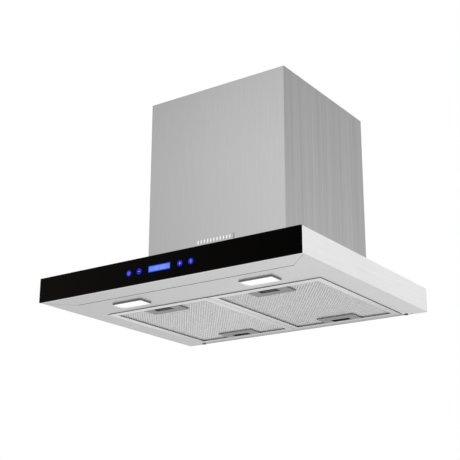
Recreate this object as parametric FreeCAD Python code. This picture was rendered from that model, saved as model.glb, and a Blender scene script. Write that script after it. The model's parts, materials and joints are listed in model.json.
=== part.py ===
import FreeCAD, Part

import math
import os

# Wall-mounted T-shaped range hood, 60 cm class. Millimetres.
# X runs to the right, Y towards the wall (the wall face is y = 0), Z up (the underside panel is z = 0).

Vector = FreeCAD.Vector
X_AXIS = Vector(1, 0, 0)
Y_AXIS = Vector(0, 1, 0)
Z_AXIS = Vector(0, 0, 1)
SIDES = (-1, 1)
ENDS = ("front", "rear")

# ---------------------------------------------------------------- canopy
WIDTH = 600.0
DEPTH = 490.0                  # front wall to wall, without the glass
HEIGHT = 49.0
SHEET = 1.0                    # canopy sheet steel
RIM = 50.0                     # front and side strips of the underside
SEAM = 0.8                     # open joint between two panels
MITRE_GAP = 0.3
FLANGE = 12.0                  # turned-in edges that carry the top cover
EDGE_R = 1.2                   # rounding of a folded edge
HALF = WIDTH / 2
FRONT = -DEPTH
INNER_HALF = HALF - SHEET
RIVET_X, RIVET_Y = 255.5, -5.4
RIVET_R, RIVET_HEAD_R, RIVET_HEAD = 1.6, 4.2, 1.2
RELIEF_X = 266.0               # narrow relief cuts beside the rear bend
RELIEF_WIDTH, RELIEF_DEPTH = 2.4, 6.0

# ---------------------------------------------------------------- filter aperture
APERTURE_HALF = 251.0
APERTURE_FRONT = FRONT + 141.0
APERTURE_BACK = -18.5
LIP_TOP = 14.0                 # top of the turned-up edge round the aperture

# ---------------------------------------------------------------- grease filters
FILTER_GAP = 1.0               # beside and between the filters
FILTER_END_GAP = 1.5           # in front of and behind them
FILTER_WIDTH = APERTURE_HALF - 1.5 * FILTER_GAP
FILTER_FRONT = APERTURE_FRONT + FILTER_END_GAP
FILTER_BACK = APERTURE_BACK - FILTER_END_GAP
FILTER_X = 0.5 * (FILTER_GAP + FILTER_WIDTH)     # filter centres, left and right
FRAME_BOTTOM = -1.5            # the frames stand a little below the panel
FRAME_TOP = 7.5
FRAME_WALL = 1.0
BORDER = 14.0                  # visible width of the frame
TOP_BORDER = 10.0
MESH_BOTTOM = 1.5
MESH_TOP = 6.5
MESH_SHEET = 0.8               # the pad's outer mesh sheets
BORDER_FRONT = FILTER_FRONT + BORDER
BORDER_BACK = FILTER_BACK - BORDER

# ---------------------------------------------------------------- filter handles and latches
HANDLE_WIDTH = 85.5
HANDLE_DEPTH = 38.0
WINDOW_HALF = 20.5             # finger window in the handle plate
WINDOW_START, WINDOW_END = 2.0, 18.0
POCKET_HALF = 22.0
POCKET_WALL = 1.0
POCKET_END = 36.0
LATCH_HALF = 12.0
LATCH_BOTTOM, LATCH_TOP = 1.5, 3.5
LATCH_TIP = -19.5              # measured from the frame's inner edge, outwards is negative
LATCH_END = 18.0
LEVER_HALF = 19.0
LEVER_START = 11.0
LEVER_BOTTOM = -0.2
LATCH_PIN_R, LATCH_PIN_END = 1.5, 25.0
LATCH_PIN_Z = 2.3
SPRING_R, SPRING_WIRE_R, SPRING_TURNS = 2.0, 0.35, 6
CATCH_HALF = 13.5              # width of the tongue's slot, and of the sprung catch below it
CATCH_DEPTH = 4.2
CATCH_THICK = 1.2
TONGUE_SLOT_TOP = 7.0

# ---------------------------------------------------------------- lamps
LAMP_X = 150.2
LAMP_Y = FRONT + 97.0
LAMP_WIDTH, LAMP_DEPTH = 72.0, 34.0
LAMP_RIM = 3.0
LAMP_PROUD = 3.0
LAMP_RECESS = 3.0              # from the bezel's face up to the diffuser
DIFFUSER_THICK = 1.8
LAMP_SLEEVE_TOP = 10.0
LAMP_CAP_TOP = 30.0
SLEEVE_WALL = 0.8

# ---------------------------------------------------------------- glass control front
CARRIER = 3.5
GLASS = 4.0
CARRIER_FRONT = FRONT - CARRIER
GLASS_FRONT = CARRIER_FRONT - GLASS
GLASS_BEVEL = 0.5
INLAY = 0.6                    # depth of the lit windows in the glass
ICON_R = 5.8
ICON_X = (-71.5, -47.0, 47.0, 71.5)
CONTROL_Z = 23.4
DISPLAY_WIDTH, DISPLAY_HEIGHT = 50.0, 12.0
CONTROL_HALF = 92.0            # opening in the front wall behind the controls
CONTROL_BOTTOM, CONTROL_TOP = 7.0, 42.0
BOARD_Y = FRONT + 2.0
BOARD_THICK = 1.6

# ---------------------------------------------------------------- chimney
CHIMNEY_HALF = 167.0
CHIMNEY_FRONT = -326.0
CHIMNEY_TOP = 456.0
CHIMNEY_SHEET = 0.8
CHIMNEY_FOLD_R = 1.5
CHIMNEY_FLANGE = 10.0
CHIMNEY_BACK_FLANGE = 15.0
NEST_GAP = 0.5                 # between the lower and the upper chimney
UPPER_BOTTOM, UPPER_TOP = 62.0, 452.0
UPPER_BACK = -1.1
BRACKET_Z = UPPER_TOP - 17.0
BRACKET_SLOT_X = 100.0
BADGE_X, BADGE_Z = 1.0, 121.5
BADGE_HALF, BADGE_HALF_HEIGHT, BADGE_THICK = 46.0, 6.5, 1.5

# ---------------------------------------------------------------- fan chamber and scroll
CHAMBER_HALF = 146.0
CHAMBER_FRONT = -304.0
CHAMBER_TOP = 300.0
CHAMBER_SHEET = 1.0
CHAMBER_FLANGE = 8.5
SCROLL_HALF = 65.0
SCROLL_Y, SCROLL_Z = -154.0, 190.0
SCROLL_START_R, SCROLL_END_R = 101.0, 142.0
SCROLL_SHEET = 1.0
INLET_R = 75.0
WHEEL_R, WHEEL_INNER_R, WHEEL_HALF = 95.0, 79.0, 48.0
BLADES = 36
SHAFT_R = 5.0
BEARING_GAP = 0.05
MOTOR_R = 43.0
MOTOR_START, MOTOR_END = 6.0, 84.0
BUSH_R, BUSH_LENGTH = 6.0, 4.0
ARM_X = SCROLL_HALF + SCROLL_SHEET + BUSH_LENGTH
MOUNT_R = 86.0                 # circle of the three motor screws
MOTOR_SCREWS = [
    (SCROLL_Y + MOUNT_R * math.cos(math.radians(a)), SCROLL_Z + MOUNT_R * math.sin(math.radians(a)))
    for a in (90, 210, 330)
]
CAPACITOR_Y, CAPACITOR_Z = -275.0, 90.0
HANG_X, HANG_Z = 100.0, 270.0  # level slots that hang the hood on two wall screws
SAFETY_X, SAFETY_Z = 120.0, 80.0

# ---------------------------------------------------------------- duct collar and its flaps
COLLAR_Y = -85.0
COLLAR_R = 74.0
COLLAR_WALL = 2.5
COLLAR_TOP = CHAMBER_TOP + 50.0
COLLAR_FLANGE_R = 82.0
COLLAR_FLANGE = 3.0
FLAP_Z = CHAMBER_TOP + 25.0
FLAP_R = 70.0
FLAP_THICK = 1.2
FLAP_START = 4.5               # the plate begins this far from the pin
PIN_R = 2.0
PIN_HALF = COLLAR_R - 1.0      # the pin snaps into blind holes in the collar's wall
KNUCKLE_R = 4.0
PIN_GAP = 0.08

# ---------------------------------------------------------------- terminal box, side boxes, screws
GLAND_X, GLAND_Y = 25.0, -235.0
GLAND_THREAD_R, GLAND_BORE_R = 6.5, 4.2
TERMINAL_TOP = CHAMBER_TOP + 30.0
POCKET_X0, POCKET_X1 = 256.0, 296.0    # side pockets of the canopy, beside the filters
SCREW_R = 1.6
COVER_SCREWS = [(side * (INNER_HALF - FLANGE / 2), y) for side in SIDES for y in (-460, -250, -40)]
COVER_SCREWS += [(x, FRONT + SHEET + FLANGE / 2) for x in (-180, 180)]
CHIMNEY_SCREWS = [(side * (CHIMNEY_HALF - 6), y) for side in SIDES for y in (-270, -170, -70)]
CHAMBER_SCREWS = [(side * (CHAMBER_HALF + 4.5), y) for side in SIDES for y in (-290, -170, -50)]
COLLAR_SCREWS = [
    (78 * math.cos(math.radians(a)), COLLAR_Y + 78 * math.sin(math.radians(a)))
    for a in (45, 135, 225, 315)
]


# ================================================================ helpers
def box(x0, x1, y0, y1, z0, z1):
    """A block between two corners, given in any order."""
    low = Vector(min(x0, x1), min(y0, y1), min(z0, z1))
    return Part.makeBox(abs(x1 - x0), abs(y1 - y0), abs(z1 - z0), low)


def rod(radius, length, start, axis):
    return Part.makeCylinder(radius, length, Vector(*start), axis)


def ring(outer, inner, length, start, axis):
    return rod(outer, length, start, axis).cut(rod(inner, length, start, axis))


def prism(points, z0, z1):
    """A flat outline given as (x, y) points, pushed up from z0 to z1."""
    corners = [Vector(x, y, z0) for x, y in points]
    face = Part.Face(Part.makePolygon(corners + corners[:1]))
    return face.extrude(Vector(0, 0, z1 - z0))


def fuse(shapes):
    first, *others = shapes
    return first.multiFuse(others).removeSplitter() if others else first


def cut(shape, tools):
    return shape.cut(Part.Compound(list(tools))) if tools else shape


def round_edges(shape, radius, chosen):
    """Rounds every edge for which chosen(edge's box) is true."""
    edges = [edge for edge in shape.Edges if chosen(edge.BoundBox)]
    return shape.makeFillet(radius, edges)


def is_vertical(b):
    return b.ZLength > 1 and b.XLength < 0.01 and b.YLength < 0.01


def near(value, target):
    return abs(value - target) < 0.01


def mirrored(shape):
    return shape.mirror(Vector(0, 0, 0), X_AXIS)


def both_sides(shape):
    return [shape, mirrored(shape)]


def screw(x, y, z, axis, head_r=3.0, head=1.8, shank_r=SCREW_R, shank=4.0):
    """A pan-head screw. Its head stands on (x, y, z) and points along axis."""
    tip = (x - axis.x * shank, y - axis.y * shank, z - axis.z * shank)
    dome = round_edges(
        rod(head_r, head, (x, y, z), axis),
        head * 0.45,
        lambda b: near((b.Center - Vector(x, y, z)).dot(axis), head),
    )
    return fuse([dome, rod(shank_r, shank, tip, axis)])


def write(node, *shapes):
    """Writes one node: a single solid, or a group of separate ones."""
    solids = [solid for shape in shapes for solid in shape.Solids]
    whole = solids[0] if len(solids) == 1 else Part.Compound(solids)
    assert whole.isValid(), node
    whole.exportStep(os.path.join("parts", node + ".step"))
    print(node, len(solids), "solids", round(whole.Volume), "mm3")


# ================================================================ canopy
def tongue_slots(y0, y1, z0, z1):
    """Cutters for the four-latch pattern: one slot per filter across a lip."""
    return [
        box(side * FILTER_X - CATCH_HALF, side * FILTER_X + CATCH_HALF, y0, y1, z0, z1)
        for side in SIDES
    ]


def canopy_wrap():
    """Underside and side walls, folded from one sheet. The front corners are mitred."""
    back = -SHEET
    half = HALF - RIM
    outline = [
        (-HALF, FRONT), (-half, FRONT + RIM), (half, FRONT + RIM), (HALF, FRONT),
        (HALF, back), (APERTURE_HALF, back),
        (APERTURE_HALF, APERTURE_FRONT), (-APERTURE_HALF, APERTURE_FRONT),
        (-APERTURE_HALF, back), (-HALF, back),
    ]
    panel = prism(outline, 0, SHEET)
    wall = box(INNER_HALF, HALF, FRONT + SHEET, 0, 0, HEIGHT)
    flange = box(INNER_HALF - FLANGE, INNER_HALF, FRONT + SHEET, back,
                 HEIGHT - 2 * SHEET, HEIGHT - SHEET)
    lip_side = box(APERTURE_HALF, APERTURE_HALF + SHEET, APERTURE_FRONT, APERTURE_BACK,
                   0, LIP_TOP)
    lip_front = box(-APERTURE_HALF - SHEET, APERTURE_HALF + SHEET,
                    APERTURE_FRONT - SHEET, APERTURE_FRONT, 0, LIP_TOP)
    whole = fuse([panel, lip_front]
                 + [piece for part in (wall, flange, lip_side) for piece in both_sides(part)])
    lamp_holes = [
        box(side * LAMP_X - LAMP_WIDTH / 2 + LAMP_RIM - SLEEVE_WALL - 0.2,
            side * LAMP_X + LAMP_WIDTH / 2 - LAMP_RIM + SLEEVE_WALL + 0.2,
            LAMP_Y - LAMP_DEPTH / 2 + LAMP_RIM - SLEEVE_WALL - 0.2,
            LAMP_Y + LAMP_DEPTH / 2 - LAMP_RIM + SLEEVE_WALL + 0.2, -1, SHEET + 1)
        for side in SIDES
    ]
    catch_notches = tongue_slots(APERTURE_FRONT - CATCH_DEPTH, APERTURE_FRONT + 1, -1,
                                 TONGUE_SLOT_TOP)
    relief = [
        box(side * RELIEF_X - RELIEF_WIDTH / 2, side * RELIEF_X + RELIEF_WIDTH / 2, -RELIEF_DEPTH, 0,
            -1, SHEET + 0.5)
        for side in SIDES
    ]
    rivet_holes = [rod(RIVET_R, SHEET + 2, (side * RIVET_X, RIVET_Y, -1), Z_AXIS) for side in SIDES]
    cutters = lamp_holes + catch_notches + relief + rivet_holes + screw_holes(COVER_SCREWS, HEIGHT)
    whole = cut(whole, cutters)
    return round_edges(
        whole, EDGE_R,
        lambda b: b.YLength > 100 and b.ZLength < 0.01 and near(b.ZMin, 0) and near(abs(b.XMin), HALF),
    )


def front_wall():
    """Front wall with its mitred bottom strip. The controls look out through its opening."""
    half = HALF - RIM
    strip = prism(
        [(-HALF + MITRE_GAP, FRONT), (HALF - MITRE_GAP, FRONT),
         (half - MITRE_GAP + SEAM, FRONT + RIM - SEAM), (-half + MITRE_GAP - SEAM, FRONT + RIM - SEAM)],
        0, SHEET)
    wall = box(-HALF, HALF, FRONT, FRONT + SHEET, SHEET, HEIGHT)
    flange = box(-HALF + 2 * FLANGE, HALF - 2 * FLANGE, FRONT + SHEET, FRONT + SHEET + FLANGE,
                 HEIGHT - 2 * SHEET, HEIGHT - SHEET)
    opening = box(-CONTROL_HALF, CONTROL_HALF, FRONT - 1, FRONT + SHEET + 1,
                  CONTROL_BOTTOM, CONTROL_TOP)
    return cut(fuse([strip, wall, flange]), [opening] + screw_holes(COVER_SCREWS, HEIGHT))


def top_cover():
    """Flat lid between the walls, open under the fan chamber."""
    gap = 0.2
    lid = box(-INNER_HALF + gap, INNER_HALF - gap, FRONT + SHEET + gap, -SHEET - gap,
              HEIGHT - SHEET, HEIGHT)
    air_way = box(-CHAMBER_HALF + 11, CHAMBER_HALF - 11, CHAMBER_FRONT + 11, -14,
                  HEIGHT - 5, HEIGHT + 5)
    return cut(lid, [air_way] + screw_holes(COVER_SCREWS + CHIMNEY_SCREWS + CHAMBER_SCREWS, HEIGHT))


def screw_holes(places, z):
    """Upright cutters for screws through the sheets round a height."""
    return [rod(SCREW_R, 10, (x, y, z - 5), Z_AXIS) for x, y in places]


def sheet_screws():
    """The same screw holds the top cover, the chimney's feet, the fan chamber and the collar."""
    levels = [
        (COVER_SCREWS, HEIGHT),
        (CHIMNEY_SCREWS, HEIGHT + CHIMNEY_SHEET),
        (CHAMBER_SCREWS, HEIGHT + CHAMBER_SHEET),
        (COLLAR_SCREWS, CHAMBER_TOP + COLLAR_FLANGE),
    ]
    return [screw(x, y, z, Z_AXIS) for places, z in levels for x, y in places]


def back_panel():
    panel = box(-INNER_HALF, INNER_HALF, -SHEET, 0, 0, HEIGHT)
    flange = box(-INNER_HALF + 2 * FLANGE, INNER_HALF - 2 * FLANGE, -SHEET - FLANGE, -SHEET,
                 HEIGHT - 2 * SHEET, HEIGHT - SHEET)
    return fuse([panel, flange])


def back_rail():
    """Channel behind the filters. Its front lip is slotted for the rear latch tongues."""
    half = APERTURE_HALF - SEAM
    floor = box(-half, half, APERTURE_BACK, -SHEET, 0, SHEET)
    lip = box(-half, half, APERTURE_BACK, APERTURE_BACK + SHEET, 0, LIP_TOP)
    rear = box(-half, half, -2 * SHEET, -SHEET, 0, LIP_TOP)
    slots = tongue_slots(APERTURE_BACK - 1, APERTURE_BACK + SHEET + 1, SHEET, TONGUE_SLOT_TOP)
    return cut(fuse([floor, lip, rear]), slots)


def corner_rivets():
    """Low rivets that join the underside to the back panel's feet."""
    head = round_edges(rod(RIVET_HEAD_R, RIVET_HEAD, (RIVET_X, RIVET_Y, -RIVET_HEAD), Z_AXIS), 0.5,
                       lambda b: near(b.ZMax, -RIVET_HEAD))
    return both_sides(fuse([head, rod(RIVET_R, 5, (RIVET_X, RIVET_Y, -0.1), Z_AXIS)]))


def catch(side):
    """Sprung strip below the front latch tongue, fixed on top of the lamp panel."""
    x, play = side * FILTER_X, 0.2
    strip = box(x - CATCH_HALF + play, x + CATCH_HALF - play,
                APERTURE_FRONT - CATCH_DEPTH + play, APERTURE_FRONT - play, 0, CATCH_THICK)
    arm = box(x - CATCH_HALF + play, x + CATCH_HALF - play,
              APERTURE_FRONT - 3 * CATCH_DEPTH, APERTURE_FRONT - CATCH_DEPTH + 1,
              SHEET, SHEET + 0.4)
    return fuse([strip, arm])


# ================================================================ grease filters
def inward(end, distance):
    """Y at a distance from the frame's inner edge towards the filter's middle."""
    return BORDER_FRONT + distance if end == "front" else BORDER_BACK - distance


def filter_frame(side):
    """Rolled channel round the mesh, notched where the latch bars pass."""
    x = side * FILTER_X
    x0, x1 = x - FILTER_WIDTH / 2, x + FILTER_WIDTH / 2
    y0, y1 = FILTER_FRONT, FILTER_BACK

    def inset(distance, z0, z1):
        return box(x0 + distance, x1 - distance, y0 + distance, y1 - distance, z0, z1)

    body = round_edges(inset(0, FRAME_BOTTOM, FRAME_TOP), 2.0, is_vertical)
    body = round_edges(body, 0.6, lambda b: near(b.ZMin, FRAME_BOTTOM) and near(b.ZMax, FRAME_BOTTOM))
    channel = inset(FRAME_WALL, FRAME_BOTTOM + FRAME_WALL, FRAME_TOP - FRAME_WALL)
    body = cut(body, [channel, inset(BORDER, FRAME_BOTTOM - 1, 0), inset(TOP_BORDER, 5, FRAME_TOP + 1)])
    hem = inset(BORDER - FRAME_WALL, FRAME_BOTTOM + 0.5, MESH_BOTTOM).cut(inset(BORDER, -5, 5))
    notches = []
    for end in ENDS:
        notches.append(box(x - CATCH_HALF, x + CATCH_HALF, inward(end, -BORDER - 1),
                           inward(end, 1), LATCH_BOTTOM - 0.3, LATCH_TOP + 0.5))
    return cut(fuse([body, hem]), notches)


def filter_mesh(side):
    """Mesh pad with room for the two latch pockets. The crumpled layers inside it are left out."""
    x, play = side * FILTER_X, 0.1

    def pad(inset):
        edge = FRAME_WALL + play + inset
        block = box(x - FILTER_WIDTH / 2 + edge, x + FILTER_WIDTH / 2 - edge,
                    FILTER_FRONT + edge, FILTER_BACK - edge, MESH_BOTTOM + inset, MESH_TOP - play - inset)
        room = POCKET_HALF + POCKET_WALL + 0.2 + inset
        end_room = POCKET_END + POCKET_WALL + 0.2 + inset
        pockets = [
            box(x - room, x + room, inward(end, -BORDER), inward(end, end_room), MESH_BOTTOM - 1,
                MESH_TOP + 1)
            for end in ENDS
        ]
        return cut(block, pockets)

    return pad(0).cut(pad(MESH_SHEET))


def handle(side, end):
    """Pressed plate with a finger window, and the pocket that holds the latch behind it."""
    x = side * FILTER_X

    def block(half, start, stop, z0, z1):
        return box(x - half, x + half, inward(end, start), inward(end, stop), z0, z1)

    half = HANDLE_WIDTH / 2
    skirt_z = MESH_BOTTOM - 0.1
    plate = block(half, 0.1, HANDLE_DEPTH, FRAME_BOTTOM, skirt_z)
    hollow = block(half - 1, 1.1, HANDLE_DEPTH - 1, FRAME_BOTTOM + 1, skirt_z + 1)
    outer = block(POCKET_HALF + POCKET_WALL, 0.1, POCKET_END + POCKET_WALL, FRAME_BOTTOM + 1, 6.0)
    room = block(POCKET_HALF, -1, POCKET_END, FRAME_BOTTOM + 1, 6.0 - POCKET_WALL)
    window = block(WINDOW_HALF, WINDOW_START, WINDOW_END, FRAME_BOTTOM - 1, FRAME_BOTTOM + 2)
    way_out = block(CATCH_HALF, -1, 2, LATCH_BOTTOM - 0.3, 5.0)
    plate = round_edges(plate, 1.5, is_vertical)
    plate = round_edges(plate, 0.5, lambda b: near(b.ZMin, FRAME_BOTTOM) and near(b.ZMax, FRAME_BOTTOM))
    return fuse([plate.cut(hollow), outer]).cut(room).cut(window).cut(way_out)


def latch(side, end):
    """Sliding bar with its tongue, the finger lever and the pin that carries the spring."""
    x = side * FILTER_X
    bar = box(x - LATCH_HALF, x + LATCH_HALF, inward(end, LATCH_TIP), inward(end, LATCH_END),
              LATCH_BOTTOM, LATCH_TOP)
    lever = box(x - LEVER_HALF, x + LEVER_HALF, inward(end, LEVER_START), inward(end, LATCH_END),
                LEVER_BOTTOM, LATCH_BOTTOM + 1)
    lever = round_edges(lever, 0.8, lambda b: near(b.ZMax, LEVER_BOTTOM) and b.XLength > 10)
    reach = abs(inward(end, LATCH_PIN_END) - inward(end, LATCH_END - 1))
    towards = Y_AXIS if end == "front" else -Y_AXIS
    pin = rod(LATCH_PIN_R, reach, (x, inward(end, LATCH_END - 1), LATCH_PIN_Z), towards)
    return fuse([bar, lever, pin])


def latch_spring(side, end):
    """Compression spring between the latch and the pocket's inner wall."""
    length = POCKET_END - LATCH_END - 2 * SPRING_WIRE_R - 0.2
    coil = Part.makeHelix(length / SPRING_TURNS, length, SPRING_R)
    start = coil.Edges[0].firstVertex().Point
    section = Part.Wire(Part.makeCircle(SPRING_WIRE_R, start, Y_AXIS))
    wire = Part.Wire(coil.Edges).makePipeShell([section], True, True)
    angle = -90 if end == "front" else 90
    wire.rotate(Vector(0, 0, 0), X_AXIS, angle)
    wire.translate(Vector(side * FILTER_X, inward(end, LATCH_END + SPRING_WIRE_R + 0.1), LATCH_PIN_Z))
    return wire


# ================================================================ lamps
def lamp_block(side, margin, z0, z1):
    half_x, half_y = LAMP_WIDTH / 2 - margin, LAMP_DEPTH / 2 - margin
    x = side * LAMP_X
    return box(x - half_x, x + half_x, LAMP_Y - half_y, LAMP_Y + half_y, z0, z1)


def lamp_bezel(side):
    ledge = lamp_block(side, 0, -LAMP_PROUD, 0)
    ledge = round_edges(ledge, 1.5, is_vertical)
    ledge = round_edges(ledge, 0.7, lambda b: near(b.ZMin, -LAMP_PROUD) and near(b.ZMax, -LAMP_PROUD))
    sleeve = lamp_block(side, LAMP_RIM - SLEEVE_WALL, 0, LAMP_SLEEVE_TOP)
    return fuse([ledge, sleeve]).cut(lamp_block(side, LAMP_RIM, -9, 99))


def lamp_diffuser(side):
    face = -LAMP_PROUD + LAMP_RECESS
    return lamp_block(side, LAMP_RIM + 0.1, face, face + DIFFUSER_THICK)


def lamp_board(side):
    """Light board with three emitters."""
    board = lamp_block(side, LAMP_RIM + 1.5, LAMP_SLEEVE_TOP - 2.5, LAMP_SLEEVE_TOP - 1)
    chips = [
        box(side * LAMP_X + x - 3, side * LAMP_X + x + 3, LAMP_Y - 3, LAMP_Y + 3,
            LAMP_SLEEVE_TOP - 3.7, LAMP_SLEEVE_TOP - 2.5)
        for x in (-20, 0, 20)
    ]
    return fuse([board] + chips)


def lamp_cap(side):
    """Closed plastic cap that snaps over the sleeve."""
    shell = lamp_block(side, LAMP_RIM - SLEEVE_WALL, LAMP_SLEEVE_TOP, LAMP_CAP_TOP)
    shell = round_edges(shell, 2.0, is_vertical)
    return shell.cut(lamp_block(side, LAMP_RIM + 1, LAMP_SLEEVE_TOP - 1, LAMP_CAP_TOP - 1.5))


# ================================================================ control front
def lit_windows(depth):
    """The display window and the round icon windows, cut to a depth behind the glass face."""
    half_w, half_h = DISPLAY_WIDTH / 2, DISPLAY_HEIGHT / 2
    display = box(-half_w, half_w, GLASS_FRONT, GLASS_FRONT + depth,
                  CONTROL_Z - half_h, CONTROL_Z + half_h)
    icons = [rod(ICON_R, depth, (x, GLASS_FRONT, CONTROL_Z), Y_AXIS) for x in ICON_X]
    return display, icons


def glass_panel():
    pane = box(-HALF, HALF, GLASS_FRONT, CARRIER_FRONT, 0, HEIGHT)
    pane = pane.makeChamfer(GLASS_BEVEL, [
        edge for edge in pane.Edges
        if near(edge.BoundBox.YMin, GLASS_FRONT) and near(edge.BoundBox.YMax, GLASS_FRONT)
    ])
    display, icons = lit_windows(INLAY)
    return cut(pane, [display] + icons)


def panel_carrier():
    frame = box(-HALF, HALF, CARRIER_FRONT, FRONT, 0, HEIGHT)
    return frame.cut(box(-CONTROL_HALF, CONTROL_HALF, CARRIER_FRONT - 1, FRONT + 1,
                         CONTROL_BOTTOM, CONTROL_TOP))


def control_board():
    """Circuit board with its display module and three chips."""
    half = CONTROL_HALF - 4
    board = box(-half, half, BOARD_Y, BOARD_Y + BOARD_THICK, CONTROL_BOTTOM + 1, CONTROL_TOP - 1)
    module = box(-DISPLAY_WIDTH / 2 - 2, DISPLAY_WIDTH / 2 + 2, CARRIER_FRONT + 0.1, BOARD_Y,
                 CONTROL_Z - 9, CONTROL_Z + 9)
    chips = [box(x - 6, x + 6, BOARD_Y + BOARD_THICK, BOARD_Y + BOARD_THICK + 2, 18, 30)
             for x in (-55, 0, 55)]
    return fuse([board, module] + chips)


def touch_pads():
    """Conductive foam pads that carry each touch to the board."""
    return [rod(5.0, BOARD_Y - CARRIER_FRONT, (x, CARRIER_FRONT, CONTROL_Z), Y_AXIS) for x in ICON_X]


def control_box():
    """Plastic tray that closes the back of the control opening."""
    back, wall = FRONT + 22, 1.5
    x, z0, z1 = CONTROL_HALF + 3, CONTROL_BOTTOM - 3, CONTROL_TOP + 3
    tray = box(-x, x, FRONT + SHEET, back, z0, z1)
    tray = round_edges(tray, 3.0, lambda b: b.YLength > 5)
    return tray.cut(box(-x + wall, x - wall, FRONT, back - wall, z0 + wall, z1 - wall))


# ================================================================ electrics in the canopy's side pockets
def shell_box(x0, x1, y0, y1, z0, z1, wall, radius):
    """A closed box with rounded upright edges, hollow inside."""
    body = round_edges(box(x0, x1, y0, y1, z0, z1), radius, is_vertical)
    return body.cut(box(x0 + wall, x1 - wall, y0 + wall, y1 - wall, z0 + wall, z1 - wall))


def power_box():
    return shell_box(POCKET_X0, POCKET_X1, -300, -140, SHEET, 40, 2.0, 3.0)


def power_board():
    board = box(POCKET_X0 + 4, POCKET_X1 - 4, -294, -146, 8, 9.6)
    parts = [
        box(POCKET_X0 + 8, POCKET_X0 + 30, -285, -255, 9.6, 30),
        box(POCKET_X0 + 8, POCKET_X0 + 24, -240, -222, 9.6, 26),
        box(POCKET_X0 + 8, POCKET_X0 + 24, -210, -192, 9.6, 26),
        rod(6, 20, (POCKET_X0 + 16, -170, 9.6), Z_AXIS),
    ]
    return fuse([board] + parts)


def led_driver():
    body = box(-POCKET_X1, -POCKET_X0, -300, -180, SHEET, 24)
    return round_edges(body, 3.0, is_vertical)


def lead(points, radius):
    """A lead along straight runs joined by arcs that take 0.45 of the shorter run."""
    points = [Vector(*p) for p in points]
    edges, start = [], points[0]
    for before, corner, after in zip(points, points[1:], points[2:]):
        to_corner, onward = corner - before, after - corner
        turn = to_corner.getAngle(onward)
        reach = 0.45 * min(to_corner.Length, onward.Length)
        into, out = Vector(to_corner).normalize(), Vector(onward).normalize()
        first, last = corner - into * reach, corner + out * reach
        bend_r = reach / math.tan(turn / 2)
        inwards = Vector(out - into).normalize()
        centre = corner + inwards * (bend_r / math.cos(turn / 2))
        middle = centre - inwards * bend_r
        edges.append(Part.LineSegment(start, first).toShape())
        edges.append(Part.Arc(first, middle, last).toShape())
        start = last
    edges.append(Part.LineSegment(start, points[-1]).toShape())
    path = Part.Wire(edges)
    section = Part.Wire(Part.makeCircle(radius, points[0], points[1] - points[0]))
    return path.makePipeShell([section], True, True)


def lamp_leads():
    """From the driver to the left lamp, and on to the right one."""
    z, edge = 20.0, LAMP_X + LAMP_WIDTH / 2 - LAMP_RIM + SLEEVE_WALL
    first = lead([(-277, -300, 14), (-277, -345, 14), (-262, LAMP_Y, z), (-edge, LAMP_Y, z)], 2.2)
    inner = LAMP_X - LAMP_WIDTH / 2 + LAMP_RIM - SLEEVE_WALL
    return [first, rod(2.2, 2 * inner, (-inner, LAMP_Y, z), X_AXIS)]


def control_lead():
    side = CONTROL_HALF + 3
    return lead([(side, FRONT + 12, 26), (200, FRONT + 12, 26), (270, -450, 26), (277, -380, 24),
                 (277, -300, 24)], 2.5)


def motor_lead():
    """From the power box through the air way to the motor's end."""
    return lead([(POCKET_X0, -200, 34), (112, -200, 34), (112, -200, 140), (112, -172, SCROLL_Z),
                 (MOTOR_END, -172, SCROLL_Z)], 2.5)


# ================================================================ chimney
def folded_cover(half, front, back, bottom, top, radius):
    """A U-shaped cover of folded sheet, open to the wall."""
    outer = round_edges(box(-half, half, front, back, bottom, top), radius,
                        lambda b: is_vertical(b) and near(b.YMin, front))
    t = CHIMNEY_SHEET
    inner = round_edges(box(-half + t, half - t, front + t, back + 5, bottom - 1, top + 1), radius - t,
                        lambda b: is_vertical(b) and near(b.YMin, front + t))
    return outer.cut(inner)


def chimney_lower():
    t = CHIMNEY_SHEET
    cover = folded_cover(CHIMNEY_HALF, CHIMNEY_FRONT, 0, HEIGHT, CHIMNEY_TOP, CHIMNEY_FOLD_R)
    inner = CHIMNEY_HALF - t
    side_foot = box(inner - CHIMNEY_FLANGE, inner, CHIMNEY_FRONT + t, -20, HEIGHT, HEIGHT + t)
    front_foot = box(-inner, inner, CHIMNEY_FRONT + t, CHIMNEY_FRONT + t + CHIMNEY_FLANGE - 2,
                     HEIGHT, HEIGHT + t)
    return_edge = box(inner - CHIMNEY_BACK_FLANGE, inner, -t, 0, HEIGHT, CHIMNEY_TOP)
    whole = fuse([cover, front_foot] + both_sides(side_foot) + both_sides(return_edge))
    return cut(whole, screw_holes(CHIMNEY_SCREWS, HEIGHT))


def chimney_upper():
    """Telescopic cover, nested inside the lower one, with air slots near its top."""
    t = CHIMNEY_SHEET
    half = CHIMNEY_HALF - t - NEST_GAP
    front = CHIMNEY_FRONT + t + NEST_GAP
    cover = folded_cover(half, front, UPPER_BACK, UPPER_BOTTOM, UPPER_TOP, CHIMNEY_FOLD_R)
    inner = half - t
    return_edge = box(inner - FLANGE, inner, UPPER_BACK - t, UPPER_BACK, UPPER_BOTTOM, UPPER_TOP)
    slots = [
        box(-half - 1, half + 1, y, y + 60, UPPER_TOP - 20 - 12 * row, UPPER_TOP - 15 - 12 * row)
        for row in range(5) for y in (-270, -180)
    ]
    return cut(fuse([cover] + both_sides(return_edge)), slots)


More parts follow.
